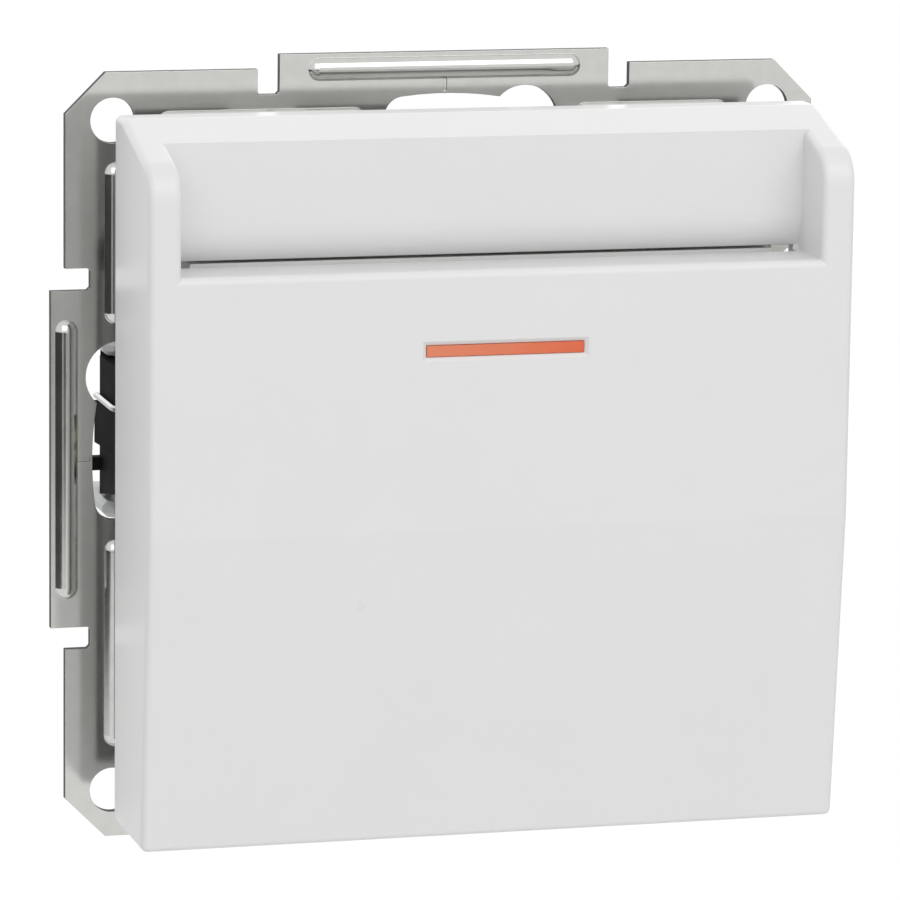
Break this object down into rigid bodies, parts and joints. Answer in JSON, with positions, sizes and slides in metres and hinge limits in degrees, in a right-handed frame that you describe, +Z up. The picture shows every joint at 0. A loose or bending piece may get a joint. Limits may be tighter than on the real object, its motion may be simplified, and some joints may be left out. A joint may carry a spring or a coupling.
{
  "type": "hotel key card switch",
  "caption": "Square flush key card switch insert with an open recess over a card slit, a lamp window, a steel support ring, a rear housing and spreading claws.",
  "frame": {"origin": "centre of the support ring's back face, which lies on the wall plane", "axes": "+X right, +Y into the wall, +Z up as mounted, seen from the front"},
  "size_m": [0.071, 0.0452, 0.071],
  "materials": {
    "cover_white": "glossy",
    "lens_orange": "glossy",
    "clear_plastic": "clear",
    "carrier_white": "satin",
    "ring_steel": "zinc plated, satin",
    "housing_grey": "satin",
    "lid_grey": "satin",
    "rivet_steel": "zinc plated",
    "lever_white": "satin",
    "pin_steel": "ground",
    "plunger_black": "satin",
    "spring_steel": "drawn wire",
    "contact_brass": "rolled strip",
    "contact_silver": "silver alloy",
    "cage_steel": "zinc plated",
    "screw_steel": "yellow zinc plated",
    "board_green": "laminate",
    "lamp_glass": "clear",
    "resistor_tan": "lacquer",
    "lead_tin": "tinned wire",
    "claw_black": "black finish",
    "nut_zinc": "zinc plated"
  },
  "bodies": {
    "insert": {"cover": "cover_white", "indicator_lens": "lens_orange", "light_guide": "clear_plastic", "carrier": "carrier_white", "support_ring": "ring_steel", "housing": "housing_grey", "housing_lid": "lid_grey", "housing_rivets": "rivet_steel", "lever_pin": "pin_steel", "fixed_contacts": "contact_brass", "fixed_tips": "contact_silver", "lamp_contacts": "contact_brass", "terminal_cages": "cage_steel", "terminal_screws": "screw_steel", "lamp_board": "board_green", "neon_lamp": "lamp_glass", "lamp_resistor": "resistor_tan", "lamp_leads": "lead_tin"},
    "rocker": {"card_lever": "lever_white"},
    "push_rod": {"plunger": "plunger_black", "plunger_spring": "spring_steel", "contact_bridge": "contact_brass", "bridge_tips": "contact_silver"},
    "spreader_left": {"claw_left": "claw_black", "claw_clip_left": "spring_steel"},
    "spreader_screw_left": {"claw_screw_left": "screw_steel"},
    "spreader_nut_left": {"claw_nut_left": "nut_zinc"},
    "spreader_right": {"claw_right": "claw_black", "claw_clip_right": "spring_steel"},
    "spreader_screw_right": {"claw_screw_right": "screw_steel"},
    "spreader_nut_right": {"claw_nut_right": "nut_zinc"}
  },
  "joints": [
    {"name": "rocker_turn", "type": "hinge", "parent": "insert", "child": "rocker", "pos_m": [0, -0.0106, 0.0055], "axis": [1, 0, 0], "range_deg": [0, 11.71]},
    {"name": "plunger_travel", "type": "slide", "parent": "insert", "child": "push_rod", "axis": [0, 1, 0], "range_m": [0, 0.00231], "stiffness_N_per_m": 200, "springref_m": -0.003, "deforming": ["plunger_spring"]},
    {"name": "claw_screw_turn_left", "type": "hinge", "parent": "insert", "child": "spreader_screw_left", "pos_m": [-0.0237, 0, 0], "axis": [0, 1, 0], "range_deg": [0, 1041]},
    {"name": "claw_spread_left", "type": "hinge", "parent": "insert", "child": "spreader_left", "pos_m": [-0.02, 0.0091, 0], "axis": [0, 0, 1], "range_deg": [0, 25]},
    {"name": "claw_nut_travel_left", "type": "slide", "parent": "insert", "child": "spreader_nut_left", "axis": [0, -1, 0], "range_m": [0, 0.00145]},
    {"name": "claw_screw_turn_right", "type": "hinge", "parent": "insert", "child": "spreader_screw_right", "pos_m": [0.0237, 0, 0], "axis": [0, 1, 0], "range_deg": [0, 1041]},
    {"name": "claw_spread_right", "type": "hinge", "parent": "insert", "child": "spreader_right", "pos_m": [0.02, 0.0091, 0], "axis": [0, 0, -1], "range_deg": [0, 25]},
    {"name": "claw_nut_travel_right", "type": "slide", "parent": "insert", "child": "spreader_nut_right", "axis": [0, -1, 0], "range_m": [0, 0.00145]}
  ],
  "couplings": [
    {"joint": "rocker_turn", "follows": "plunger_travel", "rad_per_m": 88.35},
    {"joint": "claw_spread_left", "follows": "claw_nut_travel_left", "rad_per_m": 301.75},
    {"joint": "claw_screw_turn_left", "follows": "claw_nut_travel_left", "rad_per_m": 12566},
    {"joint": "claw_spread_right", "follows": "claw_nut_travel_right", "rad_per_m": 301.75},
    {"joint": "claw_screw_turn_right", "follows": "claw_nut_travel_right", "rad_per_m": 12566}
  ]
}
